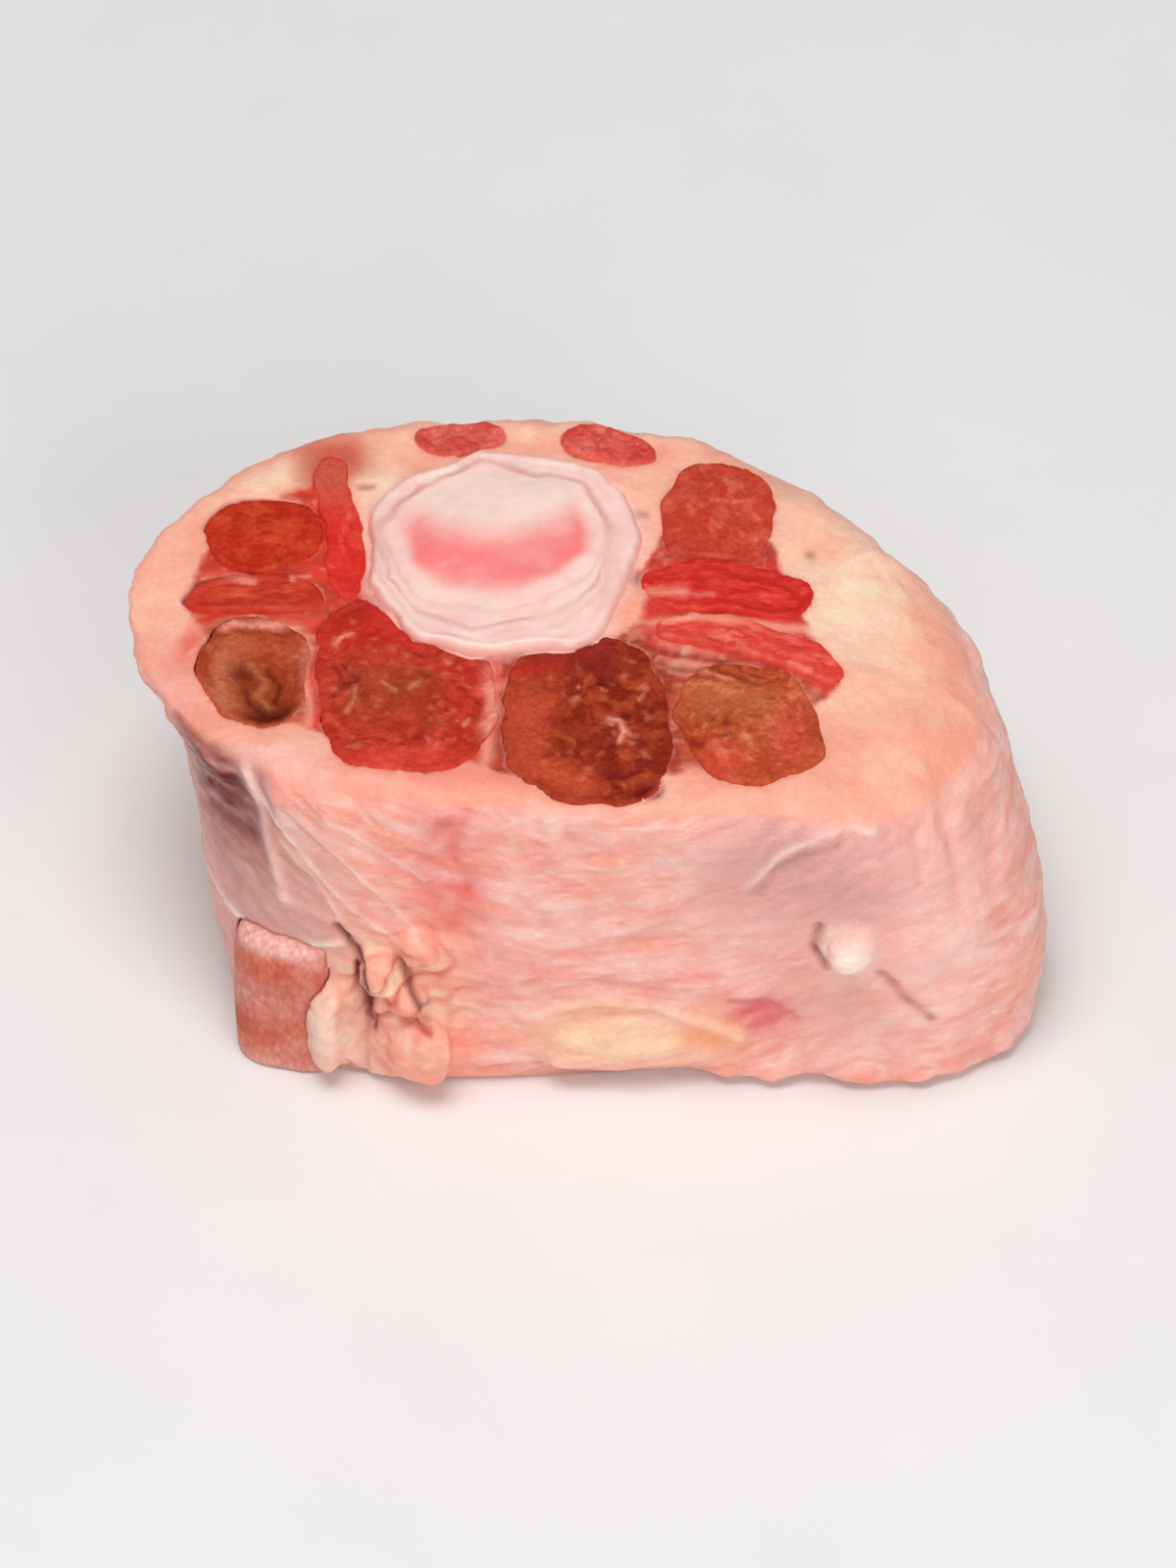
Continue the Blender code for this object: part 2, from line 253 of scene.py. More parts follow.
VESSELS = (
    Patch(15.2, -31.2, 2.5, 1.8, DEEP_BLOOD_AND_SHADE, 1.0, rise=-0.8),
    Patch(-13.3, 10.8, 1.3, 0.9, TAN, 0.8, rise=-0.2),
    Patch(15.1, 6.6, 1.5, 0.9, TAN, 0.8, rise=-0.2),
    Patch(32.6, 1.8, 1.0, 1.4, TAN, 0.7, rise=-0.2),
    Patch(14.3, -2.2, 1.9, 2.0, DEEP_BLOOD_AND_SHADE, 0.8, rise=-0.3),
)

# Thin walls of fascia and lines of blood, over fat and lean alike
FACE_STRANDS = (
    Strand(
        ((-31.6, -12.8), (-29.8, -10.8), (-27.6, -9.2), (-24.6, -8.6), (-20.4, -9.0)), 0.8, FASCIA, 0.8, 0.1
    ),
    Strand(((-30.4, -12.0), (-27.6, -10.1), (-24.4, -9.4), (-20.6, -9.8)), 0.6, DEEP_BLOOD_AND_SHADE, 0.4, -0.1),
    Strand(((-29.6, -2.4), (-27.2, -2.7), (-25.2, -3.2)), 0.6, FASCIA, 0.6, 0.1),
    Strand(((-20.8, -3.0), (-19.8, -2.2), (-18.8, -1.7)), 0.6, FASCIA, 0.6, 0.1),
    Strand(((-19.6, -10.4), (-19.3, -14.0), (-18.8, -18.0), (-19.0, -22.0)), 0.9, FASCIA, 0.7, 0.05),
    Strand(((15.0, -1.6), (20.0, -1.3), (27.5, -1.4)), 1.1, BLOOD, 0.7, -0.1),
    Strand(((15.5, -8.2), (22.0, -7.7), (31.7, -8.9)), 1.3, FASCIA, 0.8, 0.1),
    Strand(((15.2, -4.2), (17.4, -4.0), (19.4, -4.3)), 1.1, FASCIA, 0.6),
    Strand(((19.0, -4.3), (21.0, -4.6), (22.6, -5.0)), 0.5, FASCIA, 0.4),
    Strand(((16.4, -11.2), (19.4, -11.8), (22.4, -12.8)), 0.6, FASCIA, 0.45, 0.1),
    Strand(((17.2, -12.3), (20.4, -12.8), (23.8, -14.0), (27.4, -15.7)), 0.6, DEEP_BLOOD_AND_SHADE, 0.6, -0.12),
    Strand(((17.0, -13.1), (19.8, -13.5), (22.8, -14.5)), 0.6, FASCIA, 0.5, 0.1),
    Strand(((17.6, -14.1), (20.8, -14.5), (24.0, -15.7), (26.8, -17.2)), 0.6, DEEP_BLOOD_AND_SHADE, 0.5, -0.1),
    Strand(((18.0, -14.9), (21.0, -15.3), (24.4, -16.7)), 0.5, FASCIA, 0.45, 0.1),
    Strand(((18.4, -15.9), (21.5, -16.3), (24.8, -17.8)), 0.5, DEEP_BLOOD_AND_SHADE, 0.35, -0.05),
    Strand(((18.8, -16.8), (21.5, -17.2), (24.6, -18.7)), 0.5, linear(226, 150, 110), 0.4, 0.05),
    Strand(((20.0, -11.0), (25.0, -11.8), (30.5, -15.3)), 0.5, DEEP_BLOOD_AND_SHADE, 0.3, -0.1),
    Strand(((22.6, 8.6), (24.6, 8.1), (27.0, 9.2)), 0.6, FASCIA, 0.25),
    Strand(((-0.6, -15.0), (-0.4, -20.0), (-1.0, -28.0)), 1.5, FASCIA, 0.8),
    Strand(((-15.5, -2.0), (-12.5, -7.5), (-7.0, -12.8)), 1.0, BLOOD, 0.6),
    Strand(((-7.0, -14.6), (0.0, -15.8), (6.0, -14.4)), 1.5, BLOOD, 0.6),
)


# Marks on the front, by distance to the right and height

FRONT_PATCHES = (
    Patch(-23.0, 25.0, 13.0, 17.0, GREY_ROSE, 0.85),
    Patch(-20.5, 20.4, 11.0, 6.4, GLASS, 0.9, turn=4.0),
    # Painted shade under the overhanging left lip, laid over a real hollow
    Patch(-27.8, 34.6, 8.6, 18.0, UNDER_LIP_SHADE, 1.0, turn=12.0, rise=-0.9),
    Patch(34.0, 28.0, 24.0, 22.0, linear(238, 176, 168), 0.9, turn=-20.0),
    Patch(32.0, 32.0, 17.0, 14.0, GLASS, 0.95, turn=-20.0),
    Patch(34.0, 12.0, 12.0, 9.0, linear(228, 168, 158), 0.7),
    Patch(27.2, 10.2, 6.4, 5.0, linear(222, 76, 92), 0.85),
    Patch(13.5, 7.2, 17.0, 7.0, linear(253, 214, 176), 0.95, turn=-4.0),
    Patch(22.0, 7.6, 6.0, 6.0, linear(250, 164, 116), 0.8),
    Patch(35.9, 20.6, 5.4, 5.6, WHITE, 1.0, rise=0.8),
    Patch(-7.0, 4.0, 10.0, 8.0, linear(248, 146, 122), 0.9),
    Patch(-5.0, 36.6, 2.2, 3.0, BLOOD, 0.6),
    Patch(-4.6, 27.0, 8.0, 17.0, linear(238, 108, 104), 0.65),
    Patch(4.0, 1.0, 13.0, 2.6, rise=-1.2),
    Patch(-16.6, 8.0, 7.0, 14.0, linear(250, 222, 200), 0.9, turn=8.0),
    Patch(46.0, 20.0, 9.0, 26.0, PALE_ROSE, 0.7),
)

FRONT_STRANDS = (
    Strand(
        ((25.4, 28.6), (27.0, 31.2), (29.6, 33.6), (33.0, 35.6), (36.0, 36.0), (38.4, 35.2)),
        0.8, WHITE, 0.6, 0.18,
    ),
    # Painted shade below the pale crease line, over a shallow groove
    Strand(
        ((26.4, 28.0), (28.4, 31.0), (31.4, 33.2), (35.0, 34.4)), 1.2, linear(196, 134, 130), 0.6, -0.25
    ),
    # Painted shade along the nodule's upper left side, over a shallow groove
    Strand(((33.2, 23.8), (32.6, 20.8), (33.8, 17.8)), 1.0, linear(176, 96, 88), 0.9, -0.6),
    Strand(((-29.5, 18.0), (-24.5, 17.6), (-18.0, 18.2), (-14.5, 19.6)), 0.9, WHITE, 0.9, 0.35),
    Strand(((-26.0, 38.6), (-24.4, 34.4), (-22.8, 29.0), (-21.5, 23.5)), 1.6, PALE_ROSE, 0.8, 0.5),
    Strand(((-26.0, 38.0), (-20.0, 31.0), (-14.5, 24.0), (-10.0, 20.5)), 0.6, WHITE, 0.6, 0.15),
    Strand(((-21.0, 36.0), (-15.0, 30.5), (-11.0, 25.5), (-8.0, 21.5)), 0.5, WHITE, 0.5, 0.12),
    Strand(((-17.0, 36.0), (-11.0, 32.0), (-7.0, 28.5)), 0.5, WHITE, 0.45, 0.12),
    Strand(((-22.0, 31.5), (-17.5, 26.5), (-15.0, 21.0)), 0.5, WHITE, 0.5, 0.12),
    Strand(((-3.0, 38.0), (-4.2, 33.0), (-2.4, 28.0), (-4.6, 22.0)), 1.3, linear(232, 96, 92), 0.5, -0.15),
    Strand(((3.0, 9.6), (9.0, 12.2), (17.0, 11.4), (25.0, 7.6)), 1.5, CREAM, 0.5, 0.5),
    Strand(((4.0, 13.2), (10.0, 14.8), (17.0, 13.8)), 1.0, ROSE, 0.5, -0.4),
    Strand(((24.0, 12.6), (28.0, 12.2), (31.0, 9.4)), 1.0, linear(214, 96, 100), 0.5, -0.3),
    Strand(((39.6, 17.0), (42.5, 12.6), (45.0, 9.6)), 1.1, linear(196, 116, 108), 0.75, -0.4),
    Strand(((40.6, 36.4), (42.4, 33.0), (43.0, 28.0)), 1.2, FOLD, 0.5, -0.22),
    Strand(((44.6, 36.0), (46.6, 31.0), (47.4, 24.0)), 1.3, FOLD, 0.5, -0.22),
    Strand(((48.6, 33.0), (50.2, 27.0), (51.4, 19.0)), 1.3, FOLD, 0.4, -0.22),
)

# Crumbs of fat at the left of the front, and the deep cracks between them, painted dark: partly red tissue,
# partly painted shade
CRUMBS = Patch(-9.5, 14.6, 13.0, 15.0)
SHADED_CRUMB_CRACKS = (
    Strand(((-16.0, 21.5), (-14.2, 18.6), (-13.4, 14.0), (-12.6, 8.0)), 1.1, DEEP_BLOOD_AND_SHADE, 0.9, -0.6),
    Strand(((-9.6, 18.4), (-8.8, 14.6), (-7.0, 11.4)), 0.9, DEEP_BLOOD_AND_SHADE, 0.8, -0.5),
    Strand(((-12.4, 9.6), (-9.6, 10.8), (-6.6, 9.6)), 0.8, linear(178, 54, 40), 0.7, -0.4),
)


# Meshes

def raw_points(mesh):
    """A mesh's points as an array, in metres."""
    values = np.empty(len(mesh.vertices) * 3, np.float32)
    mesh.vertices.foreach_get("co", values)
    return values.reshape(-1, 3).astype(float)


bone_points = raw_points(NODES["vertebra"].data) / MM
bone_foot = bone_points[bone_points[:, 2] < 0.5].mean(axis=0)
ORIGIN = np.array([bone_foot[0] - BONE_LEAN[0], bone_foot[1] - BONE_LEAN[1], 0.0])


def points_of(mesh):
    """A mesh's points in the millimetres that this script draws in."""
    return raw_points(mesh) / MM - ORIGIN


def set_points(mesh, points):
    """Moves a mesh's points."""
    mesh.vertices.foreach_set("co", ((points + ORIGIN) * MM).astype(np.float32).ravel())
    mesh.update()


def normals_of(mesh):
    """A mesh's point normals."""
    values = np.empty(len(mesh.vertices) * 3, np.float32)
    mesh.vertex_normals.foreach_get("vector", values)
    return values.reshape(-1, 3).astype(float)


def evaluated(piece):
    """Applies the piece's modifiers to its mesh."""
    bpy.context.view_layer.update()
    mesh = bpy.data.meshes.new_from_object(piece.evaluated_get(bpy.context.evaluated_depsgraph_get()))
    piece.modifiers.clear()
    old, piece.data = piece.data, mesh
    bpy.data.meshes.remove(old)


def fine_copy(node, voxel):
    """A closed copy of a CAD piece in small even faces."""
    welded = bmesh.new()
    welded.from_mesh(NODES[node].data)
    bmesh.ops.remove_doubles(welded, verts=welded.verts, dist=1e-6)
    mesh = bpy.data.meshes.new("oxtail_" + node)
    welded.to_mesh(mesh)
    welded.free()
    piece = bpy.data.objects.new("oxtail_" + node, mesh)
    bpy.context.scene.collection.objects.link(piece)
    remesh = piece.modifiers.new("Remesh", "REMESH")
    remesh.mode = "VOXEL"
    remesh.voxel_size = voxel * MM
    evaluated(piece)
    return piece


def relax(mesh, rounds):
    """Moves points towards the mean of their neighbours, which rounds corners and facets."""
    points = points_of(mesh)
    edges = np.empty(len(mesh.edges) * 2, np.int32)
    mesh.edges.foreach_get("vertices", edges)
    first, second = edges.reshape(-1, 2).T
    count = len(points)
    degree = np.bincount(first, minlength=count) + np.bincount(second, minlength=count)
    for _ in range(rounds):
        total = np.empty_like(points)
        for axis in range(3):
            total[:, axis] = np.bincount(first, points[second, axis], count)
            total[:, axis] += np.bincount(second, points[first, axis], count)
        points = (points + total / degree[:, None]) / 2.0
    set_points(mesh, points)
    return points


def triangle_count(mesh):
    """How many triangles a mesh's faces split into."""
    return len(mesh.loops) - 2 * len(mesh.polygons)


def triangles_to_keep(mesh, hidden):
    """How many triangles stay when most of the hidden ones are merged."""
    return (1.0 - hidden.mean() * (1.0 - MEAT_HIDDEN_SHARE)) * triangle_count(mesh)


def thin_out(piece, hidden, triangles):
    """Merges faces where nothing shows, down to a count of triangles."""
    group = piece.vertex_groups.new(name="hidden")
    for index in np.flatnonzero(hidden).tolist():
        group.add((index,), 1.0, "REPLACE")
    decimate = piece.modifiers.new("Decimate", "DECIMATE")
    decimate.ratio = min(1.0, triangles / triangle_count(piece.data))
    decimate.vertex_group = group.name
    decimate.vertex_group_factor = HIDDEN_FIRST
    evaluated(piece)
    piece.vertex_groups.clear()


def distance_to(nodes, points, reach=6.0):
    """How far each point is from the nearest of some CAD pieces, up to a reach."""
    vertices, faces = [], []
    for node in nodes:
        mesh = NODES[node].data
        start = len(vertices)
        vertices += points_of(mesh).tolist()
        faces += [[start + index for index in polygon.vertices] for polygon in mesh.polygons]
    tree = BVHTree.FromPolygons(vertices, faces)
    found = (tree.find_nearest(place, reach)[3] for place in points.tolist())
    return np.array([reach if value is None else value for value in found])


def unevenness(points):
    """Shift that all pieces share, so that neighbours still meet: outlines wander, the face waves."""
    plan = points * (1.0, 1.0, 0.25)
    shift = np.zeros_like(points)
    shift[:, 0] = 0.55 * wave(plan, 5.2, 1.0) + 0.24 * wave(plan, 2.3, 2.0)
    shift[:, 1] = 0.55 * wave(plan, 5.2, 3.0) + 0.24 * wave(plan, 2.3, 4.0)
    shift[:, 2] = 0.3 * wave(points * (1.0, 1.0, 0.0), 8.5, 5.0)
    return shift * smoothstep(16.0, 36.0, points[:, 2])[:, None]


def side_share(normals):
    """0 on level faces and 1 on rounded edges and walls."""
    return smoothstep(0.985, 0.75, np.abs(normals[:, 2]))


def finish_piece(piece, node, points, normals, surface, growth, hidden, triangles, material):
    """Gives the piece its relief, colours and material, and shows it in its CAD node's place."""
    mesh = piece.data
    points = points + unevenness(points) + normals * (surface.rise + growth)[:, None]
    points[:, 2] = np.maximum(points[:, 2], 0.0)
    set_points(mesh, points)
    colours = np.column_stack([np.clip(surface.tint, 0.0, 1.0), np.ones(len(points))])
    layer = mesh.color_attributes.new("tint", "FLOAT_COLOR", "POINT")
    layer.data.foreach_set("color", colours.astype(np.float32).ravel())
    if triangles:
        thin_out(piece, hidden, triangles)
        points = points_of(piece.data)
        points[:, 2] = np.maximum(points[:, 2], 0.0)
        set_points(piece.data, points)
    piece.data.materials.clear()
    piece.data.materials.append(material)
    piece.data.shade_smooth()
    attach(piece, "root")
    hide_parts(node)


# Fat and connective tissue

def sagging(points):
    """Points measured along fibres that hang between the ends of the front, lowest in its middle."""
    flow = points.copy()
    flow[:, 2] -= 0.011 * np.minimum((points[:, 0] - 6.0) ** 2, 1000.0)
    return flow


def side_strands(flow):
    """Pale strands that run along the fibres of the side, 1 on their line."""
    return ridges(flow, (9.0, 9.0, 2.2), 14.0)


def side_creases(flow):
    """Creases that run along the fibres of the side, 1 on their line."""
    return ridges(flow, (7.0, 7.0, 2.8), 15.0)


def side_relief(points):
    """Fibrous folds on the side: broad ones, wrinkles, and thin strands and creases."""
    flow = sagging(points)
    relief = 0.26 * wave(points, (12.0, 12.0, 7.0), 11.0)
    relief += 0.13 * wave(flow, (6.0, 6.0, 2.4), 12.0)
    relief += 0.1 * wave(flow, (3.0, 3.0, 1.1), 13.0)
    relief += 0.1 * side_strands(flow)
    relief -= 0.13 * side_creases(flow)
    relief += 0.06 * wave(flow, (1.5, 1.5, 0.7), 16.0)
    return relief


def side_colours(points, surface, front):
    """Rose membrane with pale strands, redder creases and grey glassy stretches, crumbs of fat, and painted
    shade under the lip, by folds and in cracks.
    """
    flow = sagging(points)
    elevation = points[:, (0, 2)]
    surface.coat(SALMON, 0.45 + 0.6 * waves(flow, (9.0, 9.0, 4.0), 22.0))
    surface.coat(PALE_ROSE, 0.15 + 0.7 * waves(flow, (7.0, 7.0, 3.0), 21.0))
    surface.coat(GREY_ROSE, 0.55 * (1.0 - front) * smoothstep(0.0, 0.8, waves(points, 15.0, 24.0)))
    surface.coat(PALE_ROSE, 0.4 * side_strands(flow))
    surface.coat(CREASE, 0.34 * side_creases(flow))
    surface.coat(WHITE, 0.3 * ridges(flow, (5.0, 5.0, 1.3), 26.0, 4.0))
    uneven = 0.9 + 0.3 * waves(flow, (4.0, 4.0, 1.8), 25.0)
    surface.lay(FRONT_PATCHES, elevation, front, uneven)
    surface.lay(FRONT_STRANDS, elevation, front, uneven)
    crumbs = CRUMBS.weight(elevation) * front
    # Cracks among the crumbs: sunk, and painted dark red, partly red tissue and partly painted shade
    shaded_cracks = ridges(points, 3.4, 27.0)
    surface.coat(linear(254, 178, 150), 0.75 * crumbs)
    surface.coat(CREAM, 0.8 * crumbs * smoothstep(0.0, 0.7, waves(points, 4.0, 30.0)))
    surface.coat(linear(216, 72, 56), 0.75 * crumbs * shaded_cracks)
    surface.rise += crumbs * (0.35 * wave(points, 2.2, 56.0) - 0.25 * shaded_cracks)
    surface.lay(SHADED_CRUMB_CRACKS, elevation, front)


def face_colours(points, surface, near, upper):
    """Salmon to cream fat, with a web of lean where two muscles are close, and the marks of the face."""
    plan = points[:, :2]
    face = Surface(len(points), SALMON)
    face.coat(PEACH, 0.4 + 0.6 * waves(points, 7.0, 28.0))
    face.lay(FAT_PATCHES, plan, 1.0, 0.85 + 0.25 * waves(points, 3.5, 29.0))
    lean = np.array([LOOKS[node].edge for node in MUSCLES])[near.argmin(axis=0)]
    face.coat(FASCIA, 0.6 * smoothstep(1.3, 0.2, near.min(axis=0)))
    joined = np.sort(near[[not node.startswith("muscle_top") for node in MUSCLES]], axis=0)
    web = smoothstep(5.4, 4.4, joined[0] + joined[1] + 0.5 * waves(points, 3.0, 58.0))
    face.coat(lean, web)
    face.coat(lean * 0.66, web * (0.25 + 0.6 * waves(points, (2.4, 1.2, 2.0), 59.0)))
    face.coat(FASCIA, 0.4 * web * smoothstep(0.3, 0.9, waves(points, 2.0, 60.0)))
    face.lay(FACE_STRANDS, plan, 1.0)
    face.lay(VESSELS, plan, 1.0)
    surface.tint += (face.tint - surface.tint) * upper[:, None]
    surface.rise += face.rise * upper


def make_fat(material):
    """The body of fat, wrapped round everything else."""
    piece = fine_copy("fat", FAT_VOXEL)
    mesh = piece.data
    points = relax(mesh, FAT_ROUNDS)
    normals = normals_of(mesh)
    near = np.array([distance_to([node], points) for node in MUSCLES])
    near_bone = distance_to(["vertebra"], points)
    near_bundle = distance_to(["muscle_side"], points)
    front = smoothstep(-0.3, 0.15, -normals[:, 1])
    lip = front * smoothstep(-20.0, -26.0, points[:, 0])
    upper = smoothstep(0.45, 0.85, normals[:, 2] - 0.22 * lip)
    upper *= smoothstep(FACE_FROM, FACE_FULL, points[:, 2])
    lower = smoothstep(-0.35, -0.85, normals[:, 2])
    near_any = np.minimum(near.min(axis=0), near_bone)
    inner = (near_any < POCKET_REACH) & (points[:, 2] < HIDDEN_BELOW)

    surface = Surface(len(points), ROSE)
    side_colours(points, surface, front)
    surface.rise += side_relief(points) + ragged_foot(points)
    surface.rise *= 1.0 - upper
    face_colours(points, surface, near, upper)
    surface.coat(BONE_ROSE, 0.8 * upper * np.exp(-((near_bone / 1.0) ** 2)))
    surface.coat(BACK_FLESH.colour, BACK_FLESH.weight(points[:, :2]) * smoothstep(34.0, 38.0, points[:, 2]))
    surface.rise += upper * (0.14 * wave(points, 4.2, 17.0) + 0.07 * wave(points, 1.8, 18.0))
    surface.rise += 0.03 * wave(points, 0.9, 19.0)
    free = np.where(inner, 0.0, 1.0) * (1.0 - lower) * smoothstep(0.3, 0.8, near_bundle)
    surface.rise *= free
    edge = smoothstep(1.0, 0.5, near_any) * side_share(normals) * (1.0 - lower)
    surface.rise += EDGE_GROWTH * edge
    hidden = inner | (lower > 0.5)
    finish_piece(piece, "fat", points, normals, surface, 0.0, hidden, FAT_TRIANGLES, material)


def ragged_foot(points):
    """Torn lower edge of the side."""
    low = smoothstep(4.0, 0.5, points[:, 2])
    return low * (0.8 * wave(points, (3.4, 3.4, 7.0), 20.0) - 0.3)


# Muscles

class Look:
    """How one muscle's cut face looks: its colours, the run of its fibres, and its flecks and pits."""

    def __init__(
        self, deep, light, edge, cell=(1.1, 1.1), turn=0.0, relief=0.12, flecks=0, pits=0, marks=()
    ):
        self.deep, self.light, self.edge = linear(*deep), linear(*light), linear(*edge)
        self.cell, self.turn, self.relief = cell, turn, relief
        self.flecks, self.pits, self.marks = flecks, pits, marks


# Size of the fibre bundles where they lie along the cut face, as streaks
STREAKED = (2.8, 0.6)

# Marks on the muscles' cut faces, in plan

INNER_LEFT_MARKS = (
    Patch(-17.4, 12.0, 9.0, 9.0, linear(208, 96, 74), 0.85),
)

ROUND_MARKS = (
    Patch(-27.2, -16.6, 3.4, 12.0, linear(214, 128, 94), 0.75, turn=-8.0),
    Patch(-24.6, -11.8, 8.0, 2.6, linear(196, 92, 58), 0.7),
    Patch(-23.8, -17.4, 6.8, 9.0, linear(150, 54, 14), 0.9, rise=-0.8),
    Patch(-23.0, -20.8, 5.6, 3.6, linear(86, 20, 4), 0.95, turn=12.0, rise=-0.5),
    Patch(-25.2, -15.4, 2.6, 3.0, linear(98, 26, 6), 0.7, turn=30.0, rise=-0.2),
    Strand(
        ((-24.6, -14.0), (-23.6, -16.4), (-24.6, -18.4), (-23.6, -19.6)),
        0.9, linear(196, 112, 66), 0.6, 0.2,
    ),
    Strand(((-22.8, -14.6), (-22.0, -17.0), (-22.8, -18.8)), 0.6, HOLLOW, 0.7, -0.2),
    Strand(((-25.8, -17.4), (-25.2, -19.4), (-23.8, -20.6)), 0.6, HOLLOW, 0.6, -0.2),
)

LOWER_LEFT_MARKS = (
    Patch(-11.0, -18.0, 10.0, 10.0, linear(158, 62, 34), 0.7),
    Patch(-9.5, -27.8, 13.0, 4.0, linear(230, 72, 56), 0.5),
    Patch(-13.0, -10.4, 8.0, 5.0, linear(206, 38, 26), 0.7),
    Strand(((-16.6, -11.2), (-15.6, -10.4), (-14.4, -10.2)), 0.5, FASCIA, 0.7, 0.1),
    Strand(((-16.6, -14.6), (-15.8, -16.8), (-16.4, -18.6)), 0.5, DEEP_BLOOD_AND_SHADE, 0.6, -0.2),
    Strand(((-11.4, -17.2), (-10.4, -18.0)), 0.5, THREAD, 0.5, 0.1),
    Strand(((-8.8, -18.0), (-8.0, -17.0)), 0.5, THREAD, 0.5, 0.1),
    Strand(((-14.8, -17.8), (-14.5, -19.4), (-15.0, -20.8)), 0.5, linear(216, 140, 100), 0.5, 0.1),
    Patch(-14.8, -16.8, 2.0, 1.4, DEEP_BLOOD_AND_SHADE, 0.7, turn=40.0, rise=-0.3),
)

LOWER_MIDDLE_MARKS = (
    Patch(9.0, -12.8, 8.0, 4.0, linear(150, 34, 36), 0.7),
    Patch(3.4, -21.6, 5.0, 11.0, linear(206, 78, 50), 0.8, turn=-12.0),
    Patch(6.0, -29.0, 10.0, 4.0, linear(212, 84, 52), 0.7, turn=-30.0),
    Strand(((11.2, -21.8), (12.8, -22.4), (13.6, -23.8), (13.2, -25.0)), 0.7, FASCIA, 0.85, 0.15),
    Patch(11.4, -16.8, 1.4, 2.2, DEEP_BLOOD_AND_SHADE, 0.9, turn=60.0, rise=-0.4),
    Patch(12.2, -25.4, 1.2, 1.6, DEEP_BLOOD_AND_SHADE, 0.8, rise=-0.3),
    Strand(((11.0, -29.0), (12.8, -29.4), (14.6, -28.8)), 0.8, DEEP_BLOOD_AND_SHADE, 0.8, -0.3),
)

LOWER_RIGHT_MARKS = (
    Patch(20.4, -25.8, 2.0, 1.8, linear(136, 26, 12), 0.9, rise=-0.35),
    Patch(23.1, -27.4, 0.9, 2.4, linear(246, 150, 116), 0.7, turn=14.0, rise=0.1),
    Patch(22.0, -28.6, 8.0, 4.0, linear(222, 78, 58), 0.65),
    Patch(24.0, -19.4, 10.0, 5.0, linear(206, 116, 72), 0.55, turn=-14.0),
    Patch(29.8, -23.6, 3.0, 9.0, linear(222, 84, 68), 0.6),
)

LOOKS = {
    "muscle_upper_left": Look((184, 40, 14), (210, 74, 38), (214, 62, 38), (1.6, 0.9), 12.0, 0.08),
    "muscle_inner_left": Look(
        (220, 42, 34), (238, 80, 64), (228, 62, 46), (0.8, 2.0), 8.0, marks=INNER_LEFT_MARKS
    ),
    "muscle_left": Look((190, 44, 24), (228, 84, 54), (216, 66, 42), STREAKED, 4.0),
    "muscle_left_round": Look((168, 62, 26), (208, 104, 62), (214, 96, 66), marks=ROUND_MARKS),
    "muscle_lower_left": Look(
        (180, 40, 20), (220, 76, 52), (222, 66, 50), flecks=60, pits=12, marks=LOWER_LEFT_MARKS
    ),
    "muscle_lower_middle": Look(
        (136, 34, 10), (186, 76, 36), (186, 64, 38), flecks=34, pits=20, marks=LOWER_MIDDLE_MARKS
    ),
    "muscle_lower_right": Look(
        (178, 70, 32), (218, 110, 70), (198, 80, 50), flecks=46, pits=8, marks=LOWER_RIGHT_MARKS
    ),
    "muscle_right_outer": Look((224, 62, 52), (248, 124, 104), (226, 76, 60), STREAKED, -20.0),
    "muscle_right": Look((206, 32, 26), (242, 78, 62), (224, 58, 46), STREAKED, -3.0),
    "muscle_upper_right": Look((196, 62, 42), (224, 106, 80), (206, 70, 50), (1.5, 0.9), 86.0, 0.08),
    "muscle_top_right": Look((208, 70, 60), (238, 116, 104), (236, 116, 98), (1.8, 0.8), -8.0),
    "muscle_top_left": Look((208, 72, 62), (234, 114, 102), (232, 116, 100), (1.8, 0.8), 2.0),
}


# How far out from a muscle's middle flecks and pits reach, as a share of the way to its edge
SCATTER_REACH = 0.86
PIT_SEED = 50


def scattered(plan, count, seed):
    """Places for flecks or pits, drawn from a muscle's own points, away from its edge."""
    draw = np.random.default_rng(seed)
    middle = plan.mean(axis=0)
    chosen = plan[draw.integers(len(plan), size=count)]
    return middle + (chosen - middle) * SCATTER_REACH, draw


def flecks_of(plan, count, seed):
    """Short pale threads and dots of marbling."""
    places, draw = scattered(plan, count, seed)
    marks = []
    for x, y in places:
        angle, bend = draw.uniform(0.0, math.pi), draw.uniform(-0.6, 0.6)
        length = draw.uniform(0.05, 0.45)
        tip = np.array([math.cos(angle), math.sin(angle)]) * length
        far = tip + np.array([math.cos(angle + bend * 2), math.sin(angle + bend * 2)]) * length
        route = ((x, y), (x + tip[0], y + tip[1]), (x + far[0], y + far[1]))
        width, amount = draw.uniform(0.3, 0.6), draw.uniform(0.2, 0.6)
        marks.append(Strand(route, width, linear(240, 150, 118), amount, 0.05))
    return marks


def pits_of(plan, count, seed):
    """Small dark holes between bundles."""
    places, draw = scattered(plan, count, seed)
    marks = []
    for x, y in places:
        width, turn = draw.uniform(0.5, 1.2), draw.uniform(0.0, 180.0)
        marks.append(Patch(x, y, width, width * 0.7, DEEP_BLOOD_AND_SHADE, draw.uniform(0.5, 0.9), turn, -0.3))
    return marks


def fibre_cells(points, look):
    """Bundles of fibre that run up through the muscle, seen end on, or streaks along its cut face."""
    along, across = turned(points, 0.0, 0.0, look.turn)
    wander = np.column_stack([along, across, points[:, 2] * 0.1])
    wander[:, 0] += 0.4 * wave(points, 2.0, 31.0)
    wander[:, 1] += 0.4 * wave(points, 2.0, 32.0)
    return cells(wander, (*look.cell, 3.0), 33.0)


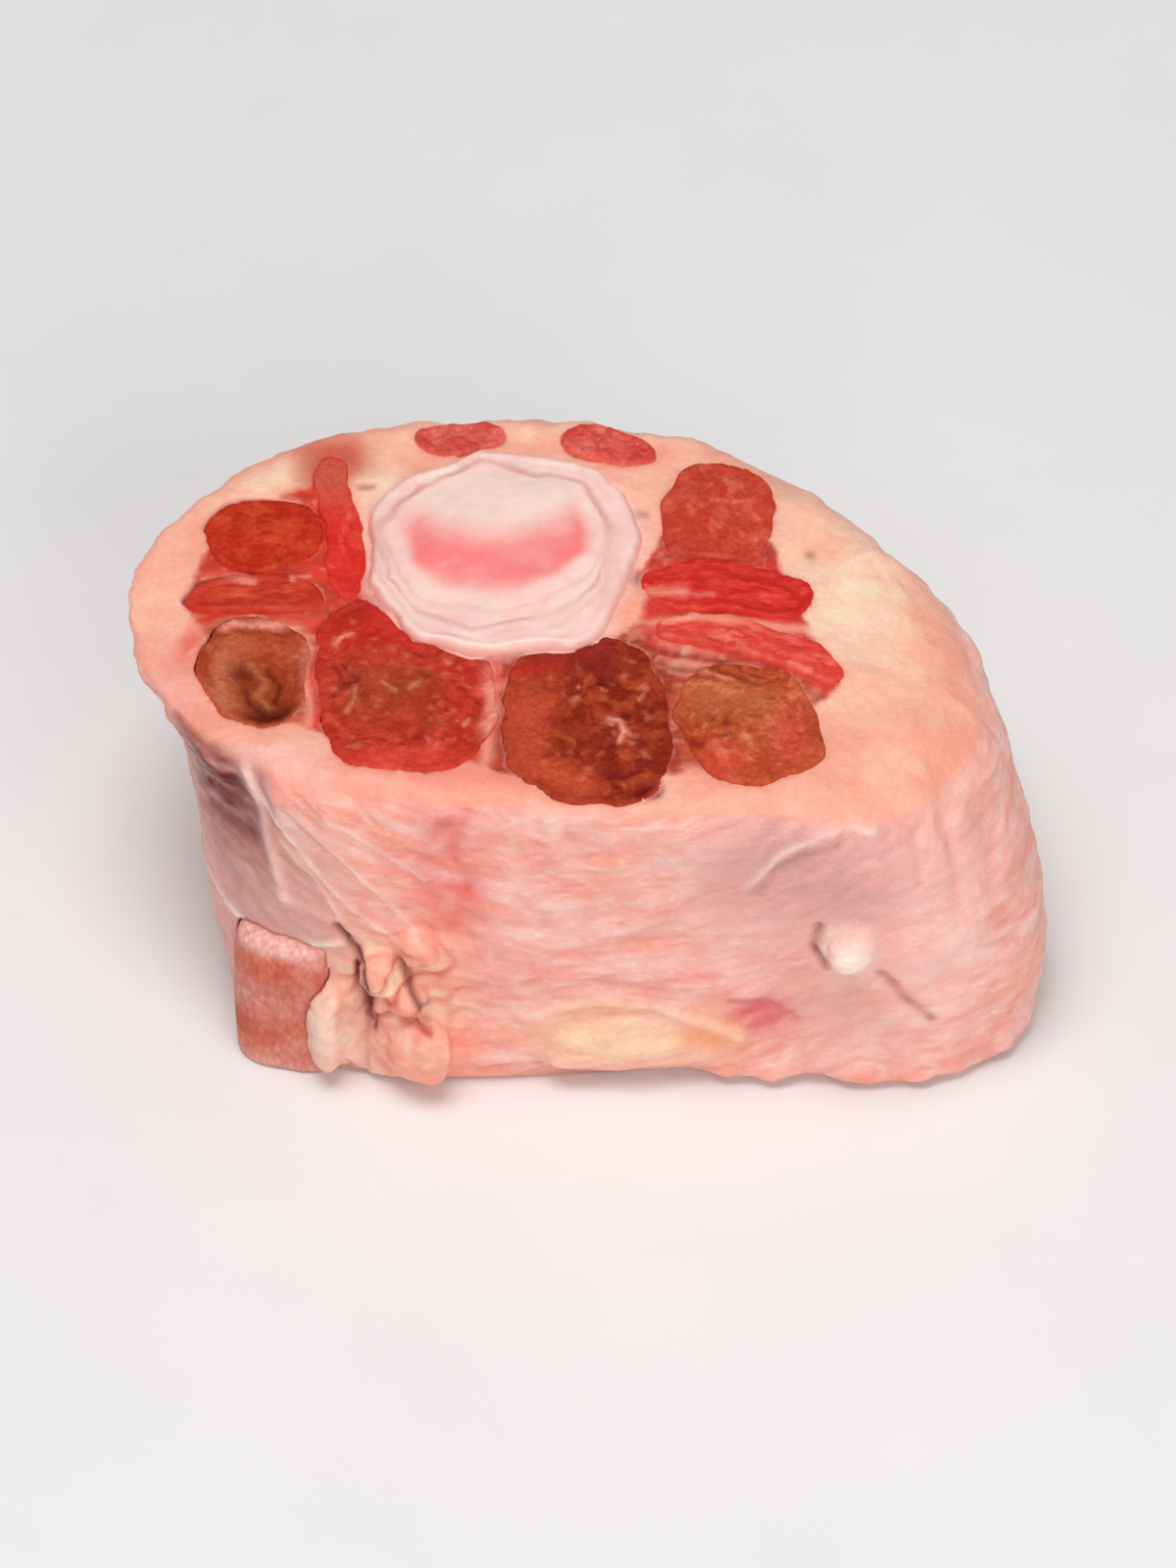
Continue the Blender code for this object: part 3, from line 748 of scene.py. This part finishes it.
def make_muscle(node, material):
    """One muscle: bundles of fibre on its cut face, and plain sides that the fat hides."""
    look = LOOKS[node]
    piece = fine_copy(node, MEAT_VOXEL)
    points = relax(piece.data, MEAT_ROUNDS)
    normals = normals_of(piece.data)
    upper = smoothstep(0.3, 0.8, normals[:, 2])
    plan = points[:, :2]

    surface = Surface(len(points), look.deep)
    depth, tone = fibre_cells(points, look)
    fine = wave(points, 0.7, 34.0)
    bundle = smoothstep(0.0, 0.3, depth)
    surface.coat(look.light, 0.4 + 0.5 * (tone - 0.5) + 0.4 * waves(points, 2.6, 36.0) + 0.15 * fine)
    surface.coat(look.deep, 0.45 * smoothstep(0.1, 0.9, waves(points, 5.0, 37.0)))
    surface.coat(look.edge, 0.6 * (1.0 - bundle) * smoothstep(-0.2, 0.6, wave(points, 3.0, 38.0)))
    surface.coat(look.edge, 0.7 * (1.0 - smoothstep(0.0, 0.95, upper)))
    surface.rise += look.relief * (bundle - 0.75) + 0.05 * fine + 0.1 * wave(points, 2.6, 35.0)
    seed = MUSCLES.index(node)
    top = plan[upper > 0.9]
    flecks, pits = flecks_of(top, look.flecks, seed), pits_of(top, look.pits, seed + PIT_SEED)
    for marks in (flecks, pits, look.marks, FACE_STRANDS, VESSELS):
        surface.lay(marks, plan, upper)
    surface.rise *= upper

    hidden = points[:, 2] < MEAT_HIDDEN_BELOW
    kept = triangles_to_keep(piece.data, hidden)
    growth = GROWTH * side_share(normals)
    finish_piece(piece, node, points, normals, surface, growth, hidden, kept, material)


def make_bundle(material):
    """The lean bundle at the foot of the side, under a thin wet skin with upright wrinkles."""
    piece = fine_copy("muscle_side", MEAT_VOXEL)
    points = relax(piece.data, BUNDLE_ROUNDS)
    normals = normals_of(piece.data)
    wrinkled = points * (1.0, 1.0, 0.3)
    surface = Surface(len(points), linear(208, 100, 78))
    surface.coat(linear(232, 142, 120), 0.4 + 0.6 * waves(points, (5.0, 5.0, 7.0), 51.0))
    surface.coat(linear(190, 80, 60), 0.4 * smoothstep(0.1, 0.9, waves(points, (3.4, 3.4, 4.0), 52.0)))
    ends = 0.85 * smoothstep(15.4, 17.2, points[:, 2]) + 0.5 * smoothstep(2.0, 0.4, points[:, 2])
    surface.coat(PALE_ROSE, ends)
    surface.coat(linear(226, 160, 148), 0.3 + 0.4 * waves(points, (6.0, 6.0, 5.0), 57.0))
    surface.rise += 0.16 * wave(wrinkled, 3.4, 54.0)
    surface.rise *= 1.0 - np.abs(normals[:, 2])
    finish_piece(piece, "muscle_side", points, normals, surface, BUNDLE_GROWTH, None, None, material)


# Vertebra

class Ring(NamedTuple):
    """A fine line round the disc of the vertebra: an ellipse in plan, and how dark and deep it is."""

    y: float
    width: float
    depth: float
    amount: float
    rise: float

    def weight(self, plan, wander):
        """1 on the line, falling off sharply."""
        reach = np.hypot(plan[:, 0] * 2.0 / self.width, (plan[:, 1] - self.y) * 2.0 / self.depth)
        return np.exp(-(((reach - 1.0 + wander) * self.width / 2.0 / LINE_WIDTH) ** 2))


# The disc's middle and size in plan, and how fine the lines round it are
DISC_MIDDLE = (0.0, 3.4)
DISC_SIZE = (21.0, 19.4)
LINE_WIDTH = 0.3
RINGS = (
    Ring(3.0, 22.8, 20.4, 0.3, -0.03),
    Ring(1.8, 23.8, 22.0, 0.5, -0.04),
    Ring(1.0, 24.9, 23.7, 0.3, -0.03),
    Ring(0.2, 26.0, 25.4, 0.2, -0.02),
)


def make_bone(material):
    """The tail bone, cut at its joint: a wet domed disc with a pink crescent that is partly painted shade,
    in a pale ringed collar.
    """
    piece = fine_copy("vertebra", BONE_VOXEL)
    points = relax(piece.data, BONE_ROUNDS)
    normals = normals_of(piece.data)
    upper = smoothstep(0.3, 0.8, normals[:, 2])
    plan = points[:, :2]
    disc = np.hypot(*((plan - DISC_MIDDLE) * 2.0 / DISC_SIZE).T)
    wander = 0.035 * wave(points, (5.0, 5.0, 90.0), 41.0) + 0.01 * wave(points, (1.5, 1.5, 90.0), 46.0)

    surface = Surface(len(points), BONE_ROSE)
    surface.coat(BONE_WHITE, 0.4 + 0.6 * waves(points, 5.0, 44.0))
    on_disc = smoothstep(1.02, 0.8, disc)
    surface.coat(BONE_WHITE, 0.9 * on_disc)
    # The crescent is partly the disc's own pink and partly painted shade where the dome falls into a
    # shallow trough
    sag = plan[:, 1] + 0.4 - 0.05 * plan[:, 0] ** 2
    pink_shaded_crescent = on_disc * smoothstep(6.0, 0.0, sag) * smoothstep(-6.6, -2.4, sag)
    surface.coat(BONE_PINK_AND_SHADE, 0.95 * pink_shaded_crescent * (0.95 + 0.12 * waves(points, 4.0, 45.0)))
    surface.rise -= 0.15 * pink_shaded_crescent
    for ring in RINGS:
        weight = ring.weight(plan, wander)
        surface.coat(BONE_LINE, ring.amount * weight * (0.75 + 0.5 * wave(points, 3.0, 47.0)))
        surface.rise += ring.rise * weight
    surface.coat(FASCIA, 0.5 * smoothstep(0.9, 0.2, upper))
    surface.rise += 0.05 * wave(points, 3.5, 42.0) + 0.03 * wave(points, 1.2, 43.0)
    surface.rise *= upper

    hidden = points[:, 2] < MEAT_HIDDEN_BELOW
    kept = triangles_to_keep(piece.data, hidden)
    growth = GROWTH * side_share(normals)
    finish_piece(piece, "vertebra", points, normals, surface, growth, hidden, kept, material)


# Materials

class Shader:
    """A Principled material whose nodes are added and joined by short calls."""

    def __init__(self, name):
        self.material = bpy.data.materials.new(name)
        self.material.use_nodes = True
        self.tree = self.material.node_tree
        self.surface = self.tree.nodes["Principled BSDF"]

    def join(self, made, inputs):
        """Sets a node's inputs, which are given by name or number, to values or to other nodes' sockets."""
        for key, value in inputs.items():
            socket = made.inputs[key]
            if isinstance(value, bpy.types.NodeSocket):
                self.tree.links.new(value, socket)
            else:
                socket.default_value = value

    def node(self, kind, inputs, **settings):
        """A new node's first output."""
        made = self.tree.nodes.new(kind)
        for key, value in settings.items():
            setattr(made, key, value)
        self.join(made, inputs)
        return made.outputs[0]

    def place(self, stretch=(1.0, 1.0, 1.0)):
        """The object's own coordinates, in millimetres, squeezed along some axes."""
        coordinates = self.tree.nodes.new("ShaderNodeTexCoord").outputs["Object"]
        scale = Vector(1.0 / (MM * side) for side in stretch)
        return self.node("ShaderNodeVectorMath", {0: coordinates, 1: scale}, operation="MULTIPLY")

    def noise(self, place, size, detail=3.0, rough=0.55):
        """Noise with features of a size in millimetres."""
        inputs = {"Vector": place, "Scale": 1.0 / size, "Detail": detail, "Roughness": rough}
        return self.node("ShaderNodeTexNoise", inputs)

    def grains(self, place, size):
        """Grains of a size in millimetres: 0 in the middle of each, more at its edge."""
        return self.node("ShaderNodeTexVoronoi", {"Vector": place, "Scale": 1.0 / size})

    def ranged(self, value, low, high, to_low, to_high):
        """A value mapped from one range to another."""
        return self.node("ShaderNodeMapRange", {0: value, 1: low, 2: high, 3: to_low, 4: to_high})

    def maths(self, operation, first, second):
        """Two values joined by an operation."""
        return self.node("ShaderNodeMath", {0: first, 1: second}, operation=operation)


class Finish(NamedTuple):
    """The finish of a tissue. Sizes are in millimetres."""

    roughness: float
    gloss: float
    wet: float
    subsurface: float
    depth: float
    fleck: float
    grain: float
    stretch: tuple
    bump: float


TISSUE_IOR = 1.36
FILM_IOR = 1.33
FILM_ROUGHNESS = 0.16
SCATTER = (1.0, 0.4, 0.25)
BUMP_DEPTH = 0.2


def tissue(name, finish):
    """A moist tissue: the painted tint with fine grain, light that sinks in, and a wet film."""
    shader = Shader(name)
    tint = shader.node("ShaderNodeAttribute", {}, attribute_name="tint")
    place = shader.place(finish.stretch)
    speckle = shader.noise(place, finish.grain * 1.4)
    grains = shader.grains(place, finish.grain)
    light = shader.ranged(speckle, 0.3, 0.7, 1.0 - finish.fleck, 1.0 + finish.fleck)
    shade = shader.ranged(grains, 0.2, 0.9, 1.0 + finish.fleck * 0.5, 1.0 - finish.fleck)
    both = shader.maths("MULTIPLY", light, shade)
    grey = shader.node("ShaderNodeCombineXYZ", {0: 1.0, 1: both, 2: both})
    dim = shader.ranged(both, 0.0, 2.0, 0.5, 1.5)
    dimmed = shader.node("ShaderNodeVectorMath", {0: tint, "Scale": dim}, operation="SCALE")
    colour = shader.node("ShaderNodeVectorMath", {0: dimmed, 1: grey}, operation="MULTIPLY")
    film = shader.noise(place, 2.4)
    rough = shader.ranged(film, 0.35, 0.7, finish.roughness - 0.1, finish.roughness + 0.14)
    height = shader.maths("SUBTRACT", shader.noise(place, finish.grain * 0.8, 4.0, 0.6), grains)
    bump = {"Strength": finish.bump, "Distance": BUMP_DEPTH * MM, "Height": height}
    relief = shader.node("ShaderNodeBump", bump)
    shader.join(shader.surface, {
        "Base Color": colour, "Roughness": rough, "Normal": relief, "Metallic": 0.0, "IOR": TISSUE_IOR,
        "Subsurface Weight": finish.subsurface, "Subsurface Scale": finish.depth * MM,
        "Subsurface Radius": SCATTER,
        "Coat Weight": finish.wet, "Coat Roughness": FILM_ROUGHNESS, "Coat IOR": FILM_IOR,
        "Specular IOR Level": finish.gloss,
    })
    return shader.material


FINISHES = {
    "fat": Finish(0.45, 0.5, 0.16, 0.2, 2.2, 0.035, 0.7, (1.0, 1.0, 0.6), 0.3),
    "bone": Finish(0.32, 0.5, 0.35, 0.2, 2.0, 0.02, 0.8, (1.0, 1.0, 1.0), 0.1),
    "muscle_red": Finish(0.5, 0.25, 0.04, 0.0, 1.0, 0.12, 0.5, (1.0, 1.0, 4.0), 0.5),
    "muscle_bright": Finish(0.48, 0.3, 0.06, 0.0, 1.0, 0.09, 0.5, (2.4, 0.8, 4.0), 0.45),
    "muscle_brown": Finish(0.54, 0.2, 0.02, 0.0, 1.0, 0.15, 0.5, (1.0, 1.0, 1.8), 0.5),
}


# Setting

# Sizes, places and distances of the setting, in metres
FLOOR_SIZE = 6.0
FLOOR_DROP = 0.0002
WORLD_COLOUR = (1.0, 0.985, 0.97, 1.0)
WORLD_STRENGTH = 0.3


def make_floor():
    """A wide plain pale floor under the part."""
    shader = Shader("floor")
    shade = shader.ranged(shader.noise(shader.place(), 30.0), 0.3, 0.7, 0.85, 0.88)
    colour = shader.node("ShaderNodeCombineXYZ", {0: shade, 1: shade, 2: shade})
    shader.join(shader.surface, {"Base Color": colour, "Roughness": 0.7})
    bpy.ops.mesh.primitive_plane_add(size=FLOOR_SIZE, location=(0.0, 0.0, -FLOOR_DROP))
    floor = bpy.context.object
    floor.name = "floor"
    floor.data.materials.append(shader.material)


class Lamp(NamedTuple):
    """A square area light: where it is, what it faces, its size and its power in watts."""

    place: Vector
    target: Vector
    size: float
    power: float


LAMPS = {
    "key": Lamp(Vector((-0.12, -0.15, 0.95)), Vector((0.0, 0.0, 0.03)), 0.5, 5.2),
    "fill": Lamp(Vector((0.35, -0.85, 0.5)), Vector((0.0, 0.0, 0.02)), 0.7, 4.0),
}


def make_light(name, lamp):
    """Puts a lamp up."""
    data = bpy.data.lights.new(name, "AREA")
    data.shape = "SQUARE"
    data.size = lamp.size
    data.energy = lamp.power
    light = bpy.data.objects.new(name, data)
    light.location = lamp.place
    light.rotation_euler = (lamp.target - lamp.place).to_track_quat("-Z", "Y").to_euler()
    bpy.context.scene.collection.objects.link(light)


def make_world():
    """Even, nearly white surroundings."""
    world = bpy.data.worlds.new("world")
    world.use_nodes = True
    background = world.node_tree.nodes["Background"]
    background.inputs["Color"].default_value = WORLD_COLOUR
    background.inputs["Strength"].default_value = WORLD_STRENGTH
    bpy.context.scene.world = world


CAMERA_RANGE = 1.3
CAMERA_ELEVATION = math.radians(45.0)
CAMERA_TARGET = Vector((0.0, -0.002, 0.019))
FRAME_WIDTH = 0.122
FRAME_SHAPE = 1600 / 1200
SENSOR = 36.0


def make_camera():
    """A long lens from the front, halfway up."""
    lens = bpy.data.cameras.new("camera")
    lens.sensor_fit = "VERTICAL"
    lens.sensor_height = SENSOR
    lens.lens = SENSOR * CAMERA_RANGE / (FRAME_WIDTH * FRAME_SHAPE)
    camera = bpy.data.objects.new("camera", lens)
    away = Vector((0.0, -math.cos(CAMERA_ELEVATION), math.sin(CAMERA_ELEVATION)))
    camera.location = CAMERA_TARGET + away * CAMERA_RANGE
    camera.rotation_euler = (-away).to_track_quat("-Z", "Y").to_euler()
    bpy.context.scene.collection.objects.link(camera)
    bpy.context.scene.camera = camera


def main():
    """Makes the setting and dresses every CAD piece."""
    make_camera()
    make_floor()
    make_world()
    for name, lamp in LAMPS.items():
        make_light(name, lamp)
    materials = {slot: tissue(slot, finish) for slot, finish in FINISHES.items()}
    make_fat(materials["fat"])
    make_bone(materials["bone"])
    make_bundle(materials["muscle_brown"])
    for node in MUSCLES:
        make_muscle(node, materials[SLOTS[node]])
    bpy.context.scene.view_settings.view_transform = "Standard"


main()
